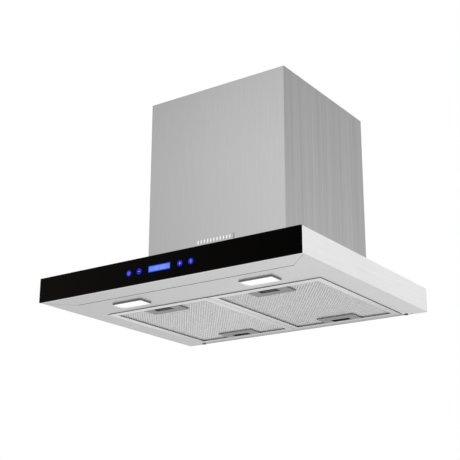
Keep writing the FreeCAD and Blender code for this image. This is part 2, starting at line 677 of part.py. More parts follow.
def chimney_bracket():
    """Joggled wall strip with ears inside the upper cover, and two slots for wall screws."""
    thick, play = 1.5, 0.2
    half = CHIMNEY_HALF - 2 * CHIMNEY_SHEET - NEST_GAP - play
    z0, z1 = BRACKET_Z - 10, BRACKET_Z + 10
    step = UPPER_BACK - CHIMNEY_SHEET - play
    strip = box(-142, 142, -thick, 0, z0, z1)
    joggle = box(140, 142, step - thick, 0, z0, z1)
    wing = box(140, half, step - thick, step, z0, z1)
    ear = box(half - thick, half, -45, step, z0, z1)
    whole = fuse([strip] + [p for part in (joggle, wing, ear) for p in both_sides(part)])
    slots = [wall_slot(side * BRACKET_SLOT_X, BRACKET_Z, 3.0, 12.0, thick) for side in SIDES]
    return cut(whole, slots)


def wall_slot(x, z, radius, length, depth):
    """Cutter for a level slot through a sheet that lies on the wall."""
    reach = length / 2 - radius
    middle = box(x - reach, x + reach, -depth - 1, 1, z - radius, z + radius)
    ends = [rod(radius, depth + 2, (x + s * reach, -depth - 1, z), Y_AXIS) for s in SIDES]
    return fuse([middle] + ends)


def badge_plate():
    """Blank trim plate on the chimney's front."""
    plate = box(BADGE_X - BADGE_HALF, BADGE_X + BADGE_HALF, CHIMNEY_FRONT - BADGE_THICK, CHIMNEY_FRONT,
                BADGE_Z - BADGE_HALF_HEIGHT, BADGE_Z + BADGE_HALF_HEIGHT)
    return round_edges(plate, 0.5, lambda b: near(b.YMax, CHIMNEY_FRONT - BADGE_THICK))


# ================================================================ fan chamber and fan
def fan_chamber():
    """Steel box over the air way, open below. It carries the fan and hangs on the wall."""
    t = CHAMBER_SHEET
    body = box(-CHAMBER_HALF, CHAMBER_HALF, CHAMBER_FRONT, 0, HEIGHT, CHAMBER_TOP)
    room = box(-CHAMBER_HALF + t, CHAMBER_HALF - t, CHAMBER_FRONT + t, -t, HEIGHT - 1, CHAMBER_TOP - t)
    side_flange = box(CHAMBER_HALF, CHAMBER_HALF + CHAMBER_FLANGE, CHAMBER_FRONT - CHAMBER_FLANGE, -20,
                      HEIGHT, HEIGHT + t)
    front_flange = box(-CHAMBER_HALF, CHAMBER_HALF, CHAMBER_FRONT - CHAMBER_FLANGE, CHAMBER_FRONT,
                       HEIGHT, HEIGHT + t)
    whole = fuse([body.cut(room), front_flange] + both_sides(side_flange))
    outlet = rod(COLLAR_R - COLLAR_WALL - 1, 10, (0, COLLAR_Y, CHAMBER_TOP - 5), Z_AXIS)
    hang = [wall_slot(side * HANG_X, HANG_Z, 3.5, 14.0, t) for side in SIDES]
    safety = [rod(3.5, 5, (side * SAFETY_X, -3, SAFETY_Z), Y_AXIS) for side in SIDES]
    stud = rod(4, 10, (-CHAMBER_HALF - 5, CAPACITOR_Y, CAPACITOR_Z), X_AXIS)
    screws = screw_holes(CHAMBER_SCREWS, HEIGHT) + screw_holes(COLLAR_SCREWS, CHAMBER_TOP)
    return cut(whole, [outlet, stud] + hang + safety + screws)


def scroll_radius(angle):
    """The scroll's inner radius. It grows evenly from the tongue (0) to the outlet (270 degrees)."""
    return SCROLL_START_R + (SCROLL_END_R - SCROLL_START_R) * angle / 270


def scroll_outline(offset):
    """Face bounded by the spiral and the straight outlet, in the plane x = 0.

    The spiral starts at the tongue (top) and runs by the front and the bottom to the back.
    """
    steps = 18
    points = []
    for i in range(steps + 1):
        angle = 270 * i / steps
        r = scroll_radius(angle) + offset
        turn = math.radians(90 + angle)
        points.append(Vector(0, SCROLL_Y + r * math.cos(turn), SCROLL_Z + r * math.sin(turn)))
    curve = Part.BSplineCurve()
    curve.interpolate(points)
    tongue, heel = points[0], points[-1]
    lid = CHAMBER_TOP - CHAMBER_SHEET
    corners = [heel, Vector(0, heel.y, lid), Vector(0, tongue.y, lid), tongue]
    lines = [Part.LineSegment(a, b).toShape() for a, b in zip(corners, corners[1:])]
    return Part.Face(Part.Wire([curve.toShape()] + lines))


def across(face, x0, x1):
    """Pushes a face from the plane x = 0 into a slab between x0 and x1."""
    slab = face.extrude(Vector(x1 - x0, 0, 0))
    slab.translate(Vector(x0, 0, 0))
    return slab


def scroll_wrap():
    """Curved band of the scroll housing. A short upright wall closes it above the tongue."""
    half = SCROLL_HALF
    outside = across(scroll_outline(SCROLL_SHEET), -half, half)
    band = outside.cut(across(scroll_outline(0), -half - 1, half + 1))
    tongue = box(-half, half, SCROLL_Y - SCROLL_SHEET, SCROLL_Y,
                 SCROLL_Z + SCROLL_START_R + 0.5, CHAMBER_TOP - CHAMBER_SHEET)
    return fuse([band, tongue])


def scroll_cheek(side):
    """Flat side of the scroll. Its bell mouth leads the air into the wheel."""
    x0 = SCROLL_HALF if side > 0 else -SCROLL_HALF - SCROLL_SHEET
    plate = across(scroll_outline(SCROLL_SHEET), x0, x0 + SCROLL_SHEET)
    outside, lip = SCROLL_HALF + SCROLL_SHEET, SCROLL_HALF - 9
    profile = [(outside, INLET_R), (outside, INLET_R - 1), (lip, INLET_R - 5), (lip, INLET_R - 4),
               (SCROLL_HALF, INLET_R)]
    corners = [Vector(side * x, SCROLL_Y + r, SCROLL_Z) for x, r in profile]
    mouth = Part.Face(Part.makePolygon(corners + corners[:1]))
    mouth = mouth.revolve(Vector(0, SCROLL_Y, SCROLL_Z), X_AXIS, 360)
    inlet = on_axis(INLET_R, 400, -200)
    screws = [rod(SCREW_R, 200, (0, y, z), X_AXIS) for y, z in MOTOR_SCREWS]
    return cut(fuse([plate.cut(inlet), mouth]), screws)


def on_axis(radius, length, x):
    return rod(radius, length, (x, SCROLL_Y, SCROLL_Z), X_AXIS)


def fan_wheel():
    """Double-inlet wheel: hub, centre disc, two end rings and forward-leaning blades."""
    hub = on_axis(18, 14, -12)
    disc = on_axis(WHEEL_R, 2, -1)
    rings = [on_axis(WHEEL_R, 2, x).cut(on_axis(WHEEL_R - 6, 2, x))
             for x in (-WHEEL_HALF, WHEEL_HALF - 2)]
    blades = []
    for i in range(BLADES):
        blade = box(-WHEEL_HALF, WHEEL_HALF, -0.6, 0.6, WHEEL_INNER_R, WHEEL_R - 1)
        middle = (WHEEL_INNER_R + WHEEL_R) / 2
        blade.rotate(Vector(0, 0, middle), X_AXIS, 22)
        blade.rotate(Vector(0, 0, 0), X_AXIS, 360 * i / BLADES)
        blade.translate(Vector(0, SCROLL_Y, SCROLL_Z))
        blades.append(blade)
    return fuse([hub, disc] + rings + blades).cut(on_axis(SHAFT_R, 40, -20))


def motor_shaft():
    return on_axis(SHAFT_R, MOTOR_END - 4 + 14, -14)


def motor_rotor():
    return on_axis(24.6, 46, 22).cut(on_axis(SHAFT_R, 60, 15))


def motor_stator():
    """Laminated ring inside the motor case."""
    return on_axis(MOTOR_R - 2.5, 46, 22).cut(on_axis(25.0, 60, 15))


def motor_case():
    can = on_axis(MOTOR_R, MOTOR_END - MOTOR_START, MOTOR_START)
    can = round_edges(can, 3.0, lambda b: b.XLength < 0.01)
    room = on_axis(MOTOR_R - 2.5, MOTOR_END - MOTOR_START - 18, MOTOR_START + 9)
    return can.cut(room).cut(on_axis(11.0, MOTOR_END - 2 - MOTOR_START + 5, MOTOR_START - 5))


def motor_bearings():
    bore = SHAFT_R + BEARING_GAP
    return [on_axis(11.0, 7, x).cut(on_axis(bore, 7, x)) for x in (MOTOR_START + 1, MOTOR_END - 10)]


def motor_spider():
    """Three-armed bracket that grips the motor case over the inlet."""
    collar = on_axis(MOTOR_R + 4, 8, ARM_X - 3).cut(on_axis(MOTOR_R, 20, ARM_X - 8))
    arms = []
    for i in range(3):
        arm = box(ARM_X, ARM_X + 3, -7, 7, MOTOR_R + 1, MOUNT_R + 7)
        arm.rotate(Vector(0, 0, 0), X_AXIS, 120 * i)
        arm.translate(Vector(0, SCROLL_Y, SCROLL_Z))
        arms.append(arm)
    holes = [rod(SCREW_R, 20, (ARM_X - 5, y, z), X_AXIS) for y, z in MOTOR_SCREWS]
    return cut(fuse([collar] + arms), holes)


def motor_bushes():
    return [ring(BUSH_R, SCREW_R, BUSH_LENGTH, (ARM_X - BUSH_LENGTH, y, z), X_AXIS)
            for y, z in MOTOR_SCREWS]


def motor_screws():
    return [screw(ARM_X + 3, y, z, X_AXIS, shank=10) for y, z in MOTOR_SCREWS]


def run_capacitor():
    """Capacitor whose stud passes through the chamber's left wall."""
    x = -CHAMBER_HALF + CHAMBER_SHEET
    can = rod(15, 60, (x, CAPACITOR_Y, CAPACITOR_Z), X_AXIS)
    can = round_edges(can, 2.0, lambda b: near(b.XMin, x + 60))
    return fuse([can, rod(4, 9, (x - 9, CAPACITOR_Y, CAPACITOR_Z), X_AXIS)])


def hexagon(x, y, z, across_corners, height):
    """Upright hexagonal block."""
    corners = [Vector(x + across_corners / 2 * math.cos(math.radians(a)),
                      y + across_corners / 2 * math.sin(math.radians(a)), z)
               for a in range(0, 361, 60)]
    return Part.Face(Part.makePolygon(corners)).extrude(Vector(0, 0, height))


def capacitor_nut():
    nut = hexagon(0, 0, 0, 15, 5).cut(rod(4, 9, (0, 0, -2), Z_AXIS))
    nut.rotate(Vector(0, 0, 0), Y_AXIS, -90)
    nut.translate(Vector(-CHAMBER_HALF, CAPACITOR_Y, CAPACITOR_Z))
    return nut


# ================================================================ outlet
def duct_collar():
    """Spigot for a 150 mm duct, with a ledge for the flaps and holes for their pin."""
    foot = rod(COLLAR_FLANGE_R, COLLAR_FLANGE, (0, COLLAR_Y, CHAMBER_TOP), Z_AXIS)
    tube = rod(COLLAR_R, COLLAR_TOP - CHAMBER_TOP, (0, COLLAR_Y, CHAMBER_TOP), Z_AXIS)
    inner_r = COLLAR_R - COLLAR_WALL
    bore = rod(inner_r, 80, (0, COLLAR_Y, CHAMBER_TOP - 10), Z_AXIS)
    ledge = ring(inner_r + 0.5, FLAP_R - 2, 3, (0, COLLAR_Y, FLAP_Z - FLAP_THICK / 2 - 3.3), Z_AXIS)
    holes = [flap_pin()] + screw_holes(COLLAR_SCREWS, CHAMBER_TOP)
    return cut(fuse([fuse([foot, tube]).cut(bore), ledge]), holes)


def flap_pin():
    return rod(PIN_R, 2 * PIN_HALF, (-PIN_HALF, COLLAR_Y, FLAP_Z), X_AXIS)


def damper_flap(side):
    """Half-round flap with two knuckles. side is -1 towards the room and 1 towards the wall."""
    low = FLAP_Z - FLAP_THICK / 2
    disc = rod(FLAP_R, FLAP_THICK, (0, COLLAR_Y, low), Z_AXIS)
    half = box(-100, 100, COLLAR_Y + side * FLAP_START, COLLAR_Y + side * 100, low - 1, low + 3)
    plate = disc.common(half)
    knuckles = []
    starts = (-44, 20) if side > 0 else (-28, 36)
    for x in starts:
        barrel = rod(KNUCKLE_R, 8, (x, COLLAR_Y, FLAP_Z), X_AXIS)
        web = box(x, x + 8, COLLAR_Y, COLLAR_Y + side * (FLAP_START + 1), low, low + FLAP_THICK)
        knuckles += [barrel, web]
    return fuse([plate] + knuckles).cut(rod(PIN_R + PIN_GAP, 200, (-100, COLLAR_Y, FLAP_Z), X_AXIS))


def terminal_box():
    shell = shell_box(-45, 45, -265, -205, CHAMBER_TOP, TERMINAL_TOP, 2.0, 3.0)
    return shell.cut(rod(GLAND_THREAD_R, 10, (GLAND_X, GLAND_Y, TERMINAL_TOP - 5), Z_AXIS))


def terminal_block():
    """Three-pole screw terminal."""
    body = box(-30, 0, -245, -225, CHAMBER_TOP + 2, CHAMBER_TOP + 16)
    wells = [rod(2.5, 8, (x, -235, CHAMBER_TOP + 12), Z_AXIS) for x in (-25, -15, -5)]
    return cut(body, wells)


def cable_gland():
    """Clamping gland for the supply cable, empty."""
    thread = rod(GLAND_THREAD_R, 8, (GLAND_X, GLAND_Y, TERMINAL_TOP - 5), Z_AXIS)
    nut = hexagon(GLAND_X, GLAND_Y, TERMINAL_TOP, 20, 6)
    dome = rod(8, 9, (GLAND_X, GLAND_Y, TERMINAL_TOP + 6), Z_AXIS)
    dome = round_edges(dome, 3, lambda b: near(b.ZMin, TERMINAL_TOP + 15))
    bore = rod(GLAND_BORE_R, 40, (GLAND_X, GLAND_Y, TERMINAL_TOP - 10), Z_AXIS)
    return fuse([thread, nut, dome]).cut(bore)


# ================================================================ write every node
SIDE_NAMES = {-1: "left", 1: "right"}
os.makedirs("parts", exist_ok=True)

write("canopy_wrap", canopy_wrap())
write("front_wall", front_wall())
write("top_cover", top_cover())
write("back_panel", back_panel())
write("back_rail", back_rail())
write("sheet_screws", *sheet_screws())
write("corner_rivets", *corner_rivets())
write("sprung_catches", *[catch(side) for side in SIDES])

display, icons = lit_windows(INLAY)
write("glass_panel", glass_panel())
write("panel_carrier", panel_carrier())
write("display_window", display)
write("touch_icons", *icons)
write("control_board", control_board())
write("touch_pads", *touch_pads())
write("control_box", control_box())

write("lamp_bezels", *[lamp_bezel(side) for side in SIDES])
write("lamp_diffusers", *[lamp_diffuser(side) for side in SIDES])
write("lamp_boards", *[lamp_board(side) for side in SIDES])
write("lamp_caps", *[lamp_cap(side) for side in SIDES])
write("led_driver", led_driver())
write("power_box", power_box())
write("power_board", power_board())
write("wiring", *lamp_leads(), control_lead(), motor_lead())

for side, name in SIDE_NAMES.items():
    write("filter_frame_" + name, filter_frame(side))
    write("filter_mesh_" + name, filter_mesh(side))
    write("handles_" + name, *[handle(side, end) for end in ENDS])
    write("latch_springs_" + name, *[latch_spring(side, end) for end in ENDS])
    for end in ENDS:
        write(f"latch_{name}_{end}", latch(side, end))

write("chimney_lower", chimney_lower())
write("badge_plate", badge_plate())
write("chimney_upper", chimney_upper())
write("chimney_bracket", chimney_bracket())

write("fan_chamber", fan_chamber())
write("scroll_wrap", scroll_wrap())
write("scroll_cheeks", *[scroll_cheek(side) for side in SIDES])
write("fan_wheel", fan_wheel())
write("motor_shaft", motor_shaft())
write("motor_rotor", motor_rotor())
write("motor_stator", motor_stator())
write("motor_case", motor_case())
write("motor_bearings", *motor_bearings())
write("motor_spider", motor_spider())
write("motor_bushes", *motor_bushes())
write("motor_screws", *motor_screws())
write("run_capacitor", run_capacitor())
write("capacitor_nut", capacitor_nut())

write("duct_collar", duct_collar())
write("flap_pin", flap_pin())
write("damper_flap_front", damper_flap(-1))
write("damper_flap_rear", damper_flap(1))
write("terminal_box", terminal_box())
write("terminal_block", terminal_block())
write("cable_gland", cable_gland())
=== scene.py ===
"""Looks of a wall-mounted T-shaped range hood, built around its CAD frame.

Metres, in the CAD frame: X to the right, Y into the wall, Z up; the underside panel is z = 0.
"""
import json
import math

import bmesh
import bpy
from mathutils import Matrix, Vector

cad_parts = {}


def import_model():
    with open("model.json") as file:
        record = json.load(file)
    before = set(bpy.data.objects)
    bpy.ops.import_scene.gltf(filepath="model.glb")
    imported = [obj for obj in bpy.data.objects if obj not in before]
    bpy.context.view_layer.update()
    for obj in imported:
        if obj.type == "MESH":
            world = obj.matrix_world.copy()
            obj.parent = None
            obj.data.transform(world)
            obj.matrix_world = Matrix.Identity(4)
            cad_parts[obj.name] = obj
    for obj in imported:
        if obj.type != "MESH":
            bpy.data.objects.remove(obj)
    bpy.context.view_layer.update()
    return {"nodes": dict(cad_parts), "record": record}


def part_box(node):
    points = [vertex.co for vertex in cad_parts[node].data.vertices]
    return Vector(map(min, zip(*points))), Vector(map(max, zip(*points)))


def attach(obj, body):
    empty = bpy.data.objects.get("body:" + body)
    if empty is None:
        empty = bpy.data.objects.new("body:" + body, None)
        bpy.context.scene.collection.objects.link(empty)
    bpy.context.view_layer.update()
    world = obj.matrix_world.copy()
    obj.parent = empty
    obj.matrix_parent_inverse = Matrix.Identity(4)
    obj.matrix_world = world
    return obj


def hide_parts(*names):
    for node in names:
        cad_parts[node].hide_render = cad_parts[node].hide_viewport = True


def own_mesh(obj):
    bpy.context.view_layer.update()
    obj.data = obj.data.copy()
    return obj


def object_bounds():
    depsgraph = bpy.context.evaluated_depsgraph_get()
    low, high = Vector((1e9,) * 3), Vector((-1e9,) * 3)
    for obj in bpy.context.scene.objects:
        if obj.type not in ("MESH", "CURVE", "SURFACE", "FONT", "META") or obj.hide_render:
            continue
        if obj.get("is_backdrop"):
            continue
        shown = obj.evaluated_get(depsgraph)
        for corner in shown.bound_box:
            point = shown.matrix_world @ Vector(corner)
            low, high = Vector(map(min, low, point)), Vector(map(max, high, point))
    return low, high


MM = 0.001
SIDES = ("left", "right")
ENDS = ("front", "rear")

# ---------------------------------------------------------------- camera, light and floor
CAMERA_PLACE = (1.135, -1.914, -0.505)
CAMERA_YAW = math.radians(34.64)       # seen from the front right
CAMERA_PITCH = math.radians(-18.34)    # below the hood, looking up
CAMERA_ROLL = math.radians(0.11)
SENSOR = 36.0
LENS = 81.16
FLOOR_Z = -0.85
FLOOR_SIZE = 60.0

# ---------------------------------------------------------------- details
WEAVE_ACROSS = 6.0 * MM                # expanded mesh: one diamond's width and depth
WEAVE_ALONG = 8.0 * MM
STRAND_WIDTH = 1.4 * MM
STRAND_THICK = 0.45 * MM
WEAVE_DROP = 0.45 * MM                 # from the pad's face to the middle of the strands
GLASS_SKIN = 0.12 * MM                 # height of the printed marks on the glass
ICON_STROKE = 0.42 * MM
ICON_RING_R = 4.8 * MM
GLYPH_R = 2.5 * MM
DIGIT_WIDTH, DIGIT_HEIGHT = 4.2 * MM, 7.0 * MM
DIGIT_STROKE = 0.8 * MM
DIGIT_PITCH = 1.68 * DIGIT_WIDTH
DIGIT_PLACES = (-1.75, -0.75, 0.75, 1.75)       # from the clock's colon, in pitches
DISPLAY_MARGIN = 1.6 * MM
BADGE_RIBS = 11
RIB_WIDTH, RIB_LENGTH = 0.52, 0.62     # parts of the ribs' pitch and of the plate's height
RIB_PROUD = 0.7 * MM
RIM = 50.4 * MM                        # front strip of the underside, to the middle of its seam
SHADE_STRIP_PROUD = 0.08 * MM                 # the dark strips of painted shade stand this far out of the joint
SHADE_STRIP_WIDTH = 2.0 * MM
SHADE_STRIP_DEPTH = 1.2 * MM
MITRE_SHADE_WIDTH = 0.5 * MM
MITRE_SHADE_END = 2.0 * MM              # the mitres' dark strips stop this far from the front corners
CROSS_REACH, CROSS_WIDTH = 1.7 * MM, 0.7 * MM   # cross recess in a screw head, drawn as a dark cross of painted shade
CROSS_SKIN = 0.04 * MM
BEZEL_RIM = 3.0 * MM                   # visible width of a lamp's frame
SPRING_WIRE_R = 0.35 * MM              # latch springs, at rest
SPRING_TURNS = 6

# ---------------------------------------------------------------- where painted light and shade make a finish lighter or darker
CANOPY_EDGE_X = 0.30
CHIMNEY_EDGE_X = 0.17
CHIMNEY_FOOT_Z, CHIMNEY_SHOULDER_Z, CHIMNEY_TOP_Z = 0.05, 0.30, 0.45
FILTER_MIDDLE_Y, FILTER_REAR_Y = -0.25, -0.03
WINDOW_SHADE = (0.7 * MM, 1.3 * MM)    # above a handle's face: where its window's pocket gets dark
WINDOW_SIDE, WINDOW_LIP = 3.0 * MM, 2.0 * MM    # from a handle's edges to its window's pocket
LEVER_FACE = (0.5 * MM, 1.0 * MM)      # above a latch's lower face: where its light face ends


# ================================================================ nodes
def node(tree, kind, inputs=None, **settings):
    """Adds a shader node; each input is a plain value or another node's output."""
    made = tree.nodes.new("ShaderNode" + kind)
    for name, value in settings.items():
        setattr(made, name, value)
    for key, value in (inputs or {}).items():
        if isinstance(value, bpy.types.NodeSocket):
            tree.links.new(value, made.inputs[key])
        else:
            made.inputs[key].default_value = value
    return made


def material(name, sockets):
    """A new material with one principled shader. Returns the material, its node tree and the shader."""
    made = bpy.data.materials.new(name)
    made.use_nodes = True
    shader = made.node_tree.nodes["Principled BSDF"]
    for key, value in sockets.items():
        shader.inputs[key].default_value = value
    return made, made.node_tree, shader


def grey(tone):
    return (tone, tone, tone, 1.0)


def scaled(colour, factor):
    return tuple(min(1.0, channel * factor) for channel in colour[:3]) + (1.0,)


def place(tree, scale=(1, 1, 1), offset=(0, 0, 0)):
    """Object coordinates in metres, stretched; a small scale draws a pattern out along that axis."""
    point = node(tree, "TexCoord").outputs["Object"]
    return node(tree, "Mapping", {"Vector": point, "Location": offset, "Scale": scale}).outputs["Vector"]


def noise(tree, scale, detail=4.0, rough=0.6, offset=(0, 0, 0)):
    inputs = {"Vector": place(tree, scale, offset), "Scale": 1.0, "Detail": detail, "Roughness": rough}
    return node(tree, "TexNoise", inputs).outputs["Fac"]


def ramp(tree, factor, low, high, start=0.3, end=0.7):
    """Colour between low and high as the factor goes from start to end."""
    made = node(tree, "ValToRGB", {"Fac": factor})
    stops = made.color_ramp.elements
    stops[0].position, stops[0].color = start, low
    stops[1].position, stops[1].color = end, high
    return made.outputs["Color"]


def maths(tree, operation, first, second=0.0):
    return node(tree, "Math", {0: first, 1: second}, operation=operation).outputs["Value"]


def blend(tree, factor, first, second, mode="MIX"):
    """Mixes two colours."""
    made = tree.nodes.new("ShaderNodeMix")
    made.data_type = "RGBA"
    made.blend_type = mode
    for socket, value in ((made.inputs[0], factor), (made.inputs[6], first), (made.inputs[7], second)):
        if isinstance(value, bpy.types.NodeSocket):
            tree.links.new(value, socket)
        else:
            socket.default_value = value
    return made.outputs[2]


def remap(tree, value, low, high, start=0.0, end=1.0):
    inputs = {"Value": value, "From Min": start, "From Max": end, "To Min": low, "To Max": high}
    return node(tree, "MapRange", inputs).outputs["Result"]


def along_axis(tree, axis):
    """A point's own coordinate on one axis, in metres."""
    return node(tree, "SeparateXYZ", {"Vector": place(tree)}).outputs[axis]


def drift(tree, colour, axis, start, end, first, last):
    """Multiplies a colour by a factor that changes evenly between two places on an axis."""
    factor = remap(tree, along_axis(tree, axis), first, last, start, end)
    return blend(tree, 1.0, colour, factor, "MULTIPLY")


def bump(tree, shader, height, distance, strength=1.0):
    made = node(tree, "Bump", {"Height": height, "Distance": distance, "Strength": strength})
    tree.links.new(made.outputs["Normal"], shader.inputs["Normal"])


def link(tree, output, shader, socket):
    tree.links.new(output, shader.inputs[socket])


# ================================================================ reading the frame
def solids(frame, name):
    """The boxes of a CAD node's separate solids, by their lowest corners: left to right, then to the back."""
    mesh = bmesh.new()
    mesh.from_mesh(frame["nodes"][name].data)
    bmesh.ops.remove_doubles(mesh, verts=mesh.verts, dist=0.005 * MM)
    boxes, seen = [], set()
    for start in mesh.verts:
        if start in seen:
            continue
        seen.add(start)
        queue, group = [start], []
        while queue:
            vert = queue.pop()
            group.append(vert.co.copy())
            fresh = {edge.other_vert(vert) for edge in vert.link_edges} - seen
            seen |= fresh
            queue.extend(fresh)
        boxes.append((Vector(map(min, zip(*group))), Vector(map(max, zip(*group)))))
    mesh.free()
    return sorted(boxes, key=lambda corners: tuple(round(value, 5) for value in corners[0]))


# ================================================================ metal
def brush_scale(along, fine, coarse=6.0):
    """Noise scale for lines that run along one axis, in lines per metre across it."""
    return tuple(coarse if axis == along else fine for axis in "XYZ")


def brushed(name, tone, along, contrast, roughness=0.34, fine=520.0, painted_side_shade=1.0, rear=1.0):
    """Brushed stainless steel with fine lines along one axis. Upright faces can be darkened by painted shade,
    and a painted shade can deepen towards the rear.
    """
    made, tree, shader = material(name, {"Metallic": 1.0, "Roughness": roughness, "Base Color": grey(tone)})
    lines = noise(tree, brush_scale(along, fine), detail=3.0, rough=0.75)
    clouds = noise(tree, (5.0, 5.0, 5.0), detail=2.0)
    fine_colour = ramp(tree, lines, grey(tone * (1 - contrast)), grey(min(1.0, tone * (1 + contrast))))
    colour = blend(tree, 1.0, fine_colour, ramp(tree, clouds, grey(0.975), grey(1.0)), "MULTIPLY")
    # painted shade on upright faces
    if painted_side_shade < 1.0:
        side_shaded = blend(tree, 1.0, colour, grey(painted_side_shade), "MULTIPLY")
        colour = blend(tree, facing(tree, "Z"), side_shaded, colour)
    # painted shade that deepens towards the rear
    if rear < 1.0:
        colour = drift(tree, colour, "Y", FILTER_MIDDLE_Y, FILTER_REAR_Y, 1.0, rear)
    link(tree, colour, shader, "Base Color")
    link(tree, remap(tree, lines, roughness - 0.05, roughness + 0.05, 0.3, 0.7), shader, "Roughness")
    bump(tree, shader, lines, 0.02 * MM, 0.6)
    return made


def facing(tree, axis):
    """1 on faces that look along that axis, either way; 0 on the rest."""
    normal = node(tree, "TexCoord").outputs["Normal"]
    along = node(tree, "SeparateXYZ", {"Vector": normal}).outputs[axis]
    return maths(tree, "GREATER_THAN", maths(tree, "ABSOLUTE", along), 0.6)


def beyond(tree, axis, middle, distance, soft=0.3 * MM):
    """Rises from 0 to 1 where a point is further than a distance from the middle, along one axis."""
    away = maths(tree, "ABSOLUTE", maths(tree, "SUBTRACT", along_axis(tree, axis), middle))
    return remap(tree, away, 0.0, 1.0, distance - soft, distance + soft)


def canopy_steel():
    """The folded canopy: lines along X below, along Y on the side walls, which are painted a little lighter
    as lit sides; the underside gets painted light towards the right.
    """
    tone = 0.68
    made, tree, shader = material("canopy_steel", {"Metallic": 1.0, "Base Color": grey(tone)})
    side = facing(tree, "X")
    under_lines = noise(tree, brush_scale("X", 420.0), detail=3.0, rough=0.7)
    side_lines = noise(tree, brush_scale("Y", 420.0), detail=3.0, rough=0.7)
    under = ramp(tree, under_lines, grey(tone * 0.95), grey(tone * 1.03))
    # painted light: the side walls get a lighter tone than the underside
    wall = ramp(tree, side_lines, grey(0.76), grey(0.82))
    clouds = ramp(tree, noise(tree, (4.0, 6.0, 4.0), detail=2.0), grey(0.96), grey(1.0))
    # painted light: the underside lightens towards the right
    under = drift(tree, under, "X", -CANOPY_EDGE_X, CANOPY_EDGE_X, 0.86, 1.07)
    link(tree, blend(tree, 1.0, blend(tree, side, under, wall), clouds, "MULTIPLY"), shader, "Base Color")
    link(tree, remap(tree, under_lines, 0.27, 0.37, 0.3, 0.7), shader, "Roughness")
    bump(tree, shader, blend(tree, side, under, wall), 0.015 * MM, 0.5)
    return made


def chimney_steel():
    """Vertical brushing: fine and even on the front, with clear streaks on the two sides. Painted shade makes
    the sides darker than the front and darker still towards the top; painted light makes the front lighter
    towards the right, with a little painted shade near its top.
    """
    made, tree, shader = material("chimney_steel", {"Metallic": 1.0, "Base Color": grey(0.4)})
    side = facing(tree, "X")
    lines = noise(tree, brush_scale("Z", 900.0, 14.0), detail=2.0, rough=0.7)
    bands = noise(tree, brush_scale("Z", 230.0, 1.6), detail=3.0, rough=0.6, offset=(2.3, 0.8, 0.0))
    front = ramp(tree, lines, grey(0.380), grey(0.430))
    # painted light and shade: lighter towards the right, a little darker near the top
    front = drift(tree, front, "X", -CHIMNEY_EDGE_X, CHIMNEY_EDGE_X, 0.86, 1.13)
    front = drift(tree, front, "Z", CHIMNEY_SHOULDER_Z, CHIMNEY_TOP_Z, 1.0, 0.95)
    # painted shade: the sides get a darker tone than the front
    flank_lines = ramp(tree, lines, grey(0.355), grey(0.405))
    flank_bands = ramp(tree, bands, grey(0.90), grey(1.07), 0.34, 0.66)
    flank = blend(tree, 1.0, flank_lines, flank_bands, "MULTIPLY")
    # painted shade: the sides darken towards the top
    flank = drift(tree, flank, "Z", CHIMNEY_FOOT_Z, CHIMNEY_TOP_Z, 1.10, 0.89)
    clouds = ramp(tree, noise(tree, (3.0, 3.0, 2.0), detail=2.0), grey(0.97), grey(1.0))
    link(tree, blend(tree, 1.0, blend(tree, side, front, flank), clouds, "MULTIPLY"), shader, "Base Color")
    link(tree, remap(tree, lines, 0.30, 0.40, 0.3, 0.7), shader, "Roughness")
    bump(tree, shader, lines, 0.02 * MM, 0.6)
    return made


def within(tree, value, low, high):
    """1 where a value lies between two limits, 0 outside them."""
    away = maths(tree, "ABSOLUTE", maths(tree, "SUBTRACT", value, (low + high) / 2))
    return maths(tree, "LESS_THAN", away, (high - low) / 2)


def bezel_steel(frame):
    """Lamp frames: bright face, outer sides darkened by painted shade, and inner walls lit up by the lamp."""
    sockets = {"Metallic": 1.0, "Roughness": 0.25, "Base Color": grey(0.84)}
    made, tree, shader = material("bezel_steel", sockets)
    low, high = solids(frame, "lamp_bezels")[-1]
    inset = BEZEL_RIM / 2
    mirrored_x = maths(tree, "ABSOLUTE", along_axis(tree, "X"))
    inside_x = within(tree, mirrored_x, low.x + inset, high.x - inset)
    inside_y = within(tree, along_axis(tree, "Y"), low.y + inset, high.y - inset)
    lines = noise(tree, brush_scale("X", 520.0), detail=3.0, rough=0.75)
    face = ramp(tree, lines, grey(0.81), grey(0.87))
    # painted shade: dark grey on the upright outer sides
    outer = blend(tree, facing(tree, "Z"), grey(0.20), face)
    inner_wall = maths(tree, "MULTIPLY", inside_x, inside_y)
    link(tree, blend(tree, inner_wall, outer, face), shader, "Base Color")
    bump(tree, shader, lines, 0.02 * MM, 0.6)
    return made


def handle_steel(frame, side):
    """Handle plates with fine lines; the pockets behind their finger windows fall into shade."""
    low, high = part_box("handles_" + side)
    first_low, first_high = solids(frame, "handles_" + side)[0]
    sockets = {"Metallic": 1.0, "Roughness": 0.36, "Base Color": grey(0.33)}
    made, tree, shader = material("handle_steel_" + side, sockets)
    lines = noise(tree, brush_scale("X", 600.0, 9.0), detail=3.0)
    # painted shading: the upright sides get a flat tone set apart from the face's lines
    plate = blend(tree, facing(tree, "Z"), grey(0.28), ramp(tree, lines, grey(0.22), grey(0.27)))
    shade_start, shade_end = (low.z + height for height in WINDOW_SHADE)
    depth = remap(tree, along_axis(tree, "Z"), 0.0, 1.0, shade_start, shade_end)
    plate_depth = first_high.y - first_low.y
    off_centre = beyond(tree, "X", (low.x + high.x) / 2, (high.x - low.x) / 2 - WINDOW_SIDE)
    off_inner = beyond(tree, "Y", (low.y + high.y) / 2, (high.y - low.y) / 2 - plate_depth + WINDOW_LIP)
    pocket = maths(tree, "MULTIPLY", maths(tree, "SUBTRACT", 1.0, off_centre), off_inner)
    shade = maths(tree, "MULTIPLY", depth, pocket)
    link(tree, blend(tree, shade, plate, grey(0.015)), shader, "Base Color")
    bump(tree, shader, lines, 0.02 * MM, 0.5)
    return made


